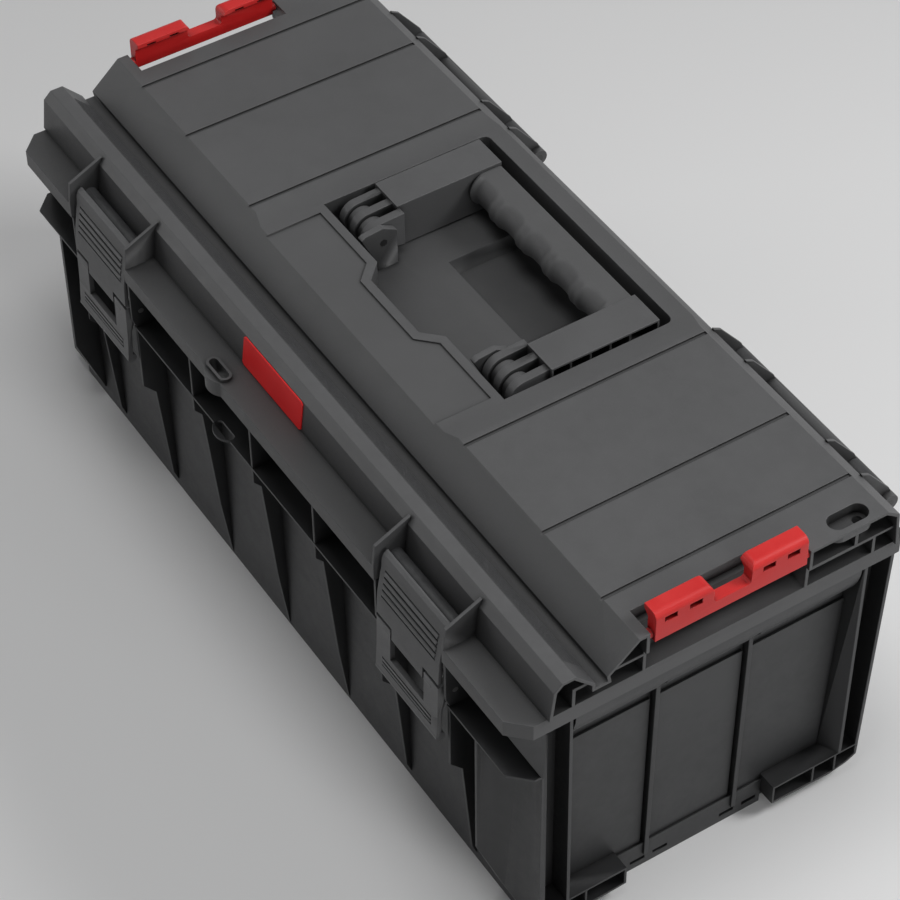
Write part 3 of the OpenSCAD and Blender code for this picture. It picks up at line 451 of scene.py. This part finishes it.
steel_x = drawn_steel("drawn_steel_x", "x", dull=0.34, bright=0.52)
steel_y = drawn_steel("drawn_steel_y", "y", dull=0.34, bright=0.52)
black_steel = drawn_steel("blackened_steel", "x", dull=0.05, bright=0.11)
pin_places = (
    ("hinge_rod", "case_body", black_steel),
    ("lever_pin", "case_body", steel_x),
    ("handle_pin", "lid", black_steel),
    ("clip_pin", "lid", steel_y),
    ("hook_pin", "lever", steel_x))
for kind, body, steel in pin_places:
    for side in ("left", "right"):
        rides = body + "_" + side if body == "lever" else body
        pin = moulding_of(
            kind + "_" + side, rides, "steel_" + kind + "_" + side,
            round_r=0.0004)
        pin.data.materials.append(steel)

# ---------------------------------------------------------------------------
# Handle frame: dark grey moulding of two ribbed arms, hollow from the sides,
# with three knuckles each on the pins, joined by the core bar of the grip.
# ---------------------------------------------------------------------------
handle_plastic = moulded_plastic(
    "handle_plastic", (0.084, 0.0843, 0.086), (0.12, 0.121, 0.124), rough=0.45,
    grain=1600.0, relief=0.3, dust=0.28)
handle_bar = moulding_of(
    "handle_frame", "handle", "handle_arms", round_r=0.0006)
handle_bar.data.materials.append(handle_plastic)

# ---------------------------------------------------------------------------
# Grip: a softer overmoulded sleeve, round in front and below and flat above and
# behind, with four pairs of soft finger ridges and a raised collar at each end.
# ---------------------------------------------------------------------------
grip_low, grip_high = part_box("handle_grip")
grip_r = 0.016
grip_flat = 0.0012
ridge_places = (-1.5, -0.5, 0.5, 1.5)
ridge_step = 0.0395
ridge_half = 0.017
pair_half = 0.0048
broad_share, pair_share = 0.72, 0.28
ridge_rise = 0.0034
collar_l = 0.008
collar_rise = 0.0032
end_round_l = 0.0012
end_round_r = 0.0009
front_power = 1.2
round_power = 2.0
square_power = 5.0
grip_around = 64
grip_along = 160


def hump(off, half):
    """A soft rise of one at its middle and nought past its half width."""
    return 0.5 + 0.5 * math.cos(math.pi * off / half) if abs(off) < half else 0.0


def grip_bulge(x):
    """How far the sleeve's front stands out at a place along it, up to one."""
    rise = 0.0
    for turn in ridge_places:
        off = x - turn * ridge_step
        pair = max(hump(off - pair_half, pair_half), hump(off + pair_half, pair_half))
        rise = max(rise, broad_share * hump(off, ridge_half) + pair_share * pair)
    return rise


half_grip = grip_high.x
grip_y = grip_high.y - grip_r
grip_z = grip_high.z + grip_flat - grip_r
sleeve = bmesh.new()
rings = []
for i in range(grip_along + 1):
    x = -half_grip + i * (2 * half_grip) / grip_along
    end_gap = min(x + half_grip, half_grip - x)
    shrink = end_round_r * max(0.0, 1 - end_gap / end_round_l)
    collar = 0.0
    if end_gap < collar_l:
        collar = collar_rise * (0.5 - 0.5 * math.cos(2 * math.pi * end_gap / collar_l))
    ring = []
    for k in range(grip_around):
        t = 2 * math.pi * k / grip_around
        forward = max(0.0, -math.cos(t)) ** front_power
        power = square_power if math.cos(t) > 0 and math.sin(t) > 0 else round_power
        reach = (abs(math.cos(t)) ** power + abs(math.sin(t)) ** power) ** (-1 / power)
        r = (grip_r - shrink) * reach + forward * (grip_bulge(x) * ridge_rise + collar)
        y, z = math.cos(t) * r, math.sin(t) * r
        z = min(z, grip_r - grip_flat - shrink * 0.5)
        ring.append(sleeve.verts.new((x, grip_y + y, grip_z + z)))
    rings.append(ring)
for a, b in zip(rings, rings[1:]):
    for k in range(grip_around):
        after = (k + 1) % grip_around
        sleeve.faces.new((a[k], b[k], b[after], a[after]))
sleeve.faces.new(rings[0])
sleeve.faces.new(list(reversed(rings[-1])))
bmesh.ops.recalc_face_normals(sleeve, faces=sleeve.faces)
grip_mesh = bpy.data.meshes.new("grip_sleeve")
sleeve.to_mesh(grip_mesh)
sleeve.free()
for polygon in grip_mesh.polygons:
    polygon.use_smooth = len(polygon.vertices) == 4
grip = new_object("grip_sleeve", grip_mesh)
grip_rubber = moulded_plastic(
    "grip_rubber", (0.082, 0.0825, 0.084), (0.13, 0.131, 0.134), rough=0.55,
    grain=1900.0, relief=0.45, dust=0.4, shine=0.4)
grip_mesh.materials.append(grip_rubber)
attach(grip, "handle")
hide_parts("handle_grip")

# ---------------------------------------------------------------------------
# Latches: each is a lever on a pin in the tub and a bowed hook plate on a pin
# in the lever, both moulded in the lid's plastic, with grooves to press on.
# ---------------------------------------------------------------------------
latch_plastic = moulded_plastic(
    "latch_plastic", (0.092, 0.0925, 0.0945), (0.16, 0.161, 0.164), rough=0.42,
    grain=1500.0, relief=0.26, dust=0.25)
# The lever is the same plastic as the hook, given a paler colour: painted light standing in for
# the brighter light on its face.
lever_painted_light_plastic = moulded_plastic(
    "lever_painted_light_plastic", (0.120, 0.1205, 0.1225), (0.19, 0.191, 0.194), rough=0.42,
    grain=1500.0, relief=0.26, dust=0.25)
for side in ("left", "right"):
    lever = moulding_of(
        "latch_lever_" + side, "lever_" + side, "lever_plate_" + side,
        round_r=0.0004)
    lever.data.materials.append(lever_painted_light_plastic)
    hook = moulding_of(
        "latch_hook_" + side, "hook_" + side, "hook_plate_" + side,
        round_r=0.0004)
    hook.data.materials.append(latch_plastic)

# Rounded ribs stand between the grooves of both plates, where a thumb presses.
# Each place is the y and z of a rib's middle.
latch_middle = 0.246
rib_sides = 32
rib_sharp = math.radians(40)
rib_sets = (
    ("hook",
        ((-0.18657, 0.25816), (-0.18561, 0.26464), (-0.18454, 0.27113), (-0.18347, 0.27766)),
        {"Length": 0.0744, "Half Width": 0.00195, "Rise": 0.00085, "Tilt": -0.165,
            "Material": latch_plastic}),
    ("lever",
        ((-0.19019, 0.1808), (-0.18994, 0.185)),
        {"Length": 0.069, "Half Width": 0.00105, "Rise": 0.00065, "Tilt": -0.06,
            "Material": lever_painted_light_plastic}))

rib_group, rib_in, rib_out = new_group("pressing_ribs", (
    ("Geometry", "Geometry"), ("Length", "Float"), ("Half Width", "Float"),
    ("Rise", "Float"), ("Tilt", "Float"), ("Material", "Material")))
rib_bar = rib_group.nodes.new("GeometryNodeMeshCylinder")
rib_bar.inputs["Vertices"].default_value = rib_sides
rib_bar.inputs["Radius"].default_value = 1.0
rib_bar.inputs["Depth"].default_value = 1.0
rib_lay = rib_group.nodes.new("GeometryNodeTransform")
rib_lay.inputs["Rotation"].default_value = (0, math.pi / 2, 0)
rib_scale = rib_group.nodes.new("ShaderNodeCombineXYZ")
rib_turn = rib_group.nodes.new("ShaderNodeCombineXYZ")
rib_spots = rib_group.nodes.new("GeometryNodeInstanceOnPoints")
for source, target in (
        (rib_bar.outputs["Mesh"], rib_lay.inputs["Geometry"]),
        (rib_in.outputs["Length"], rib_scale.inputs["X"]),
        (rib_in.outputs["Rise"], rib_scale.inputs["Y"]),
        (rib_in.outputs["Half Width"], rib_scale.inputs["Z"]),
        (rib_in.outputs["Tilt"], rib_turn.inputs["X"]),
        (rib_in.outputs["Geometry"], rib_spots.inputs["Points"]),
        (rib_lay.outputs["Geometry"], rib_spots.inputs["Instance"]),
        (rib_scale.outputs["Vector"], rib_spots.inputs["Scale"]),
        (rib_turn.outputs["Vector"], rib_spots.inputs["Rotation"])):
    rib_group.links.new(source, target)
finish_group(rib_group, rib_in, rib_out, rib_spots)

for kind, places, rib_values in rib_sets:
    for side, sign in (("left", -1), ("right", 1)):
        spots = bpy.data.meshes.new(kind + "_rib_places")
        spots.from_pydata([(sign * latch_middle, y, z) for y, z in places], [], [])
        ribs = new_object(kind + "_ribs_" + side, spots)
        rib_mesh = keep_result(ribs, rib_group, rib_values)
        for polygon in rib_mesh.polygons:
            polygon.use_smooth = True
        rib_mesh.set_sharp_from_angle(angle=rib_sharp)
        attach(ribs, kind + "_" + side)

# ---------------------------------------------------------------------------
# End clips: satin red mouldings that swing on a steel pin at each end. Two
# hooked blocks on each grip the case that is stacked on top.
# ---------------------------------------------------------------------------
clip_red = moulded_plastic(
    "clip_red", (0.60, 0.018, 0.018), (0.74, 0.06, 0.055), rough=0.40, grain=1300.0,
    relief=0.22, dust=0.12)
for side in ("left", "right"):
    clip = moulding_of(
        "end_clip_" + side, "clip_" + side, "stack_clip_" + side,
        round_r=0.0006)
    clip.data.materials.append(clip_red)

# ---------------------------------------------------------------------------
# Floor, lights and camera: a plain pale ground that fades into a pale backdrop,
# soft lamps above the rear right and straight above, weaker ones at the front
# and the side, and the photograph's viewpoint.
# ---------------------------------------------------------------------------
floor_half = 6
floor_lit_tone = (0.36, 0.36, 0.36)
floor_seen_tone = (0.84, 0.84, 0.84)
backdrop_tone = (0.56, 0.56, 0.56)
sky_lit_tone = (0.111, 0.112, 0.114)
fade_from, fade_to = 0.7, 2.6


def background_rays(tree):
    """One for the rays that show the background, nought for those that light the case."""
    path = tree.nodes.new("ShaderNodeLightPath")
    total = path.outputs["Is Camera Ray"]
    for kind in ("Is Glossy Ray", "Is Transmission Ray"):
        total = combined(tree, "MAXIMUM", total, path.outputs[kind])
    return total


floor_mesh = bpy.data.meshes.new("ground")
floor_corners = [
    (x * floor_half, y * floor_half, 0) for x, y in ((-1, -1), (1, -1), (1, 1), (-1, 1))]
floor_mesh.from_pydata(floor_corners, [], [(0, 1, 2, 3)])
floor = new_object("ground", floor_mesh)
floor_paint, floor_tree, floor_shader = new_material("ground_paint")
floor_shader.inputs["Roughness"].default_value = 0.9
floor_shader.inputs["Specular IOR Level"].default_value = 0.2
floor_seen = background_rays(floor_tree)
floor_tree.links.new(
    blend(floor_tree, floor_lit_tone, floor_seen_tone, floor_seen),
    floor_shader.inputs["Base Color"])
floor_place = floor_tree.nodes.new("ShaderNodeTexCoord")
floor_far = floor_tree.nodes.new("ShaderNodeVectorMath")
floor_far.operation = "LENGTH"
floor_tree.links.new(floor_place.outputs["Object"], floor_far.inputs[0])
floor_fade = spread(
    floor_tree, floor_far.outputs["Value"], fade_from, fade_to, 0.0, 1.0, "SMOOTHSTEP")
floor_glow = floor_tree.nodes.new("ShaderNodeEmission")
floor_glow.inputs["Color"].default_value = (*backdrop_tone, 1)
floor_mix = floor_tree.nodes.new("ShaderNodeMixShader")
floor_end = floor_tree.nodes["Material Output"]
for source, target in (
        (combined(floor_tree, "MULTIPLY", floor_fade, floor_seen), floor_mix.inputs["Fac"]),
        (floor_shader.outputs["BSDF"], floor_mix.inputs[1]),
        (floor_glow.outputs["Emission"], floor_mix.inputs[2]),
        (floor_mix.outputs["Shader"], floor_end.inputs["Surface"])):
    floor_tree.links.new(source, target)
floor_mesh.materials.append(floor_paint)

sky = bpy.data.worlds.new("soft_sky")
scene.world = sky
sky.use_nodes = True
sky_tree = sky.node_tree
sky_tree.links.new(
    blend(sky_tree, sky_lit_tone, backdrop_tone, background_rays(sky_tree)),
    sky_tree.nodes["Background"].inputs["Color"])


def soft_lamp(name, power, size, at, to):
    """A square lamp that looks at a point."""
    data = bpy.data.lights.new(name, "AREA")
    data.energy = power
    data.size = size
    lamp = new_object(name, data)
    aim = (Vector(to) - Vector(at)).to_track_quat("-Z", "Y").to_matrix().to_4x4()
    lamp.matrix_world = Matrix.Translation(at) @ aim


soft_lamp("rear_lamp", 31.0, 0.8, at=(1.1, 1.7, 1.9), to=(0, 0, 0.2))
soft_lamp("top_lamp", 20.0, 1.0, at=(0.1, -0.2, 2.6), to=(0, 0, 0.2))
soft_lamp("front_lamp", 8.0, 1.0, at=(-1.7, -1.8, 0.9), to=(-0.15, 0, 0.15))
soft_lamp("side_lamp", 8.5, 0.9, at=(2.1, -0.1, 0.9), to=(0.3, 0, 0.15))

azimuth, elevation, roll = math.radians(57.83), math.radians(46.26), math.radians(-0.69)
viewpoint_at = (1.5085, -0.9418, 1.9844)
focal_px, picture_px, sensor_mm = 3012, 900, 36.0
back = Vector((
    math.sin(azimuth) * math.cos(elevation),
    -math.cos(azimuth) * math.cos(elevation),
    math.sin(elevation)))
across = (-back).cross(Vector((0, 0, 1))).normalized()
upward = across.cross(-back)
right = math.cos(roll) * across + math.sin(roll) * upward
top = -math.sin(roll) * across + math.cos(roll) * upward
lens = bpy.data.cameras.new("viewpoint")
lens.sensor_width = sensor_mm
lens.lens = focal_px / picture_px * sensor_mm
viewpoint = new_object("viewpoint", lens)
looking = Matrix((right, top, back)).transposed().to_4x4()
viewpoint.matrix_world = Matrix.Translation(viewpoint_at) @ looking
scene.camera = viewpoint
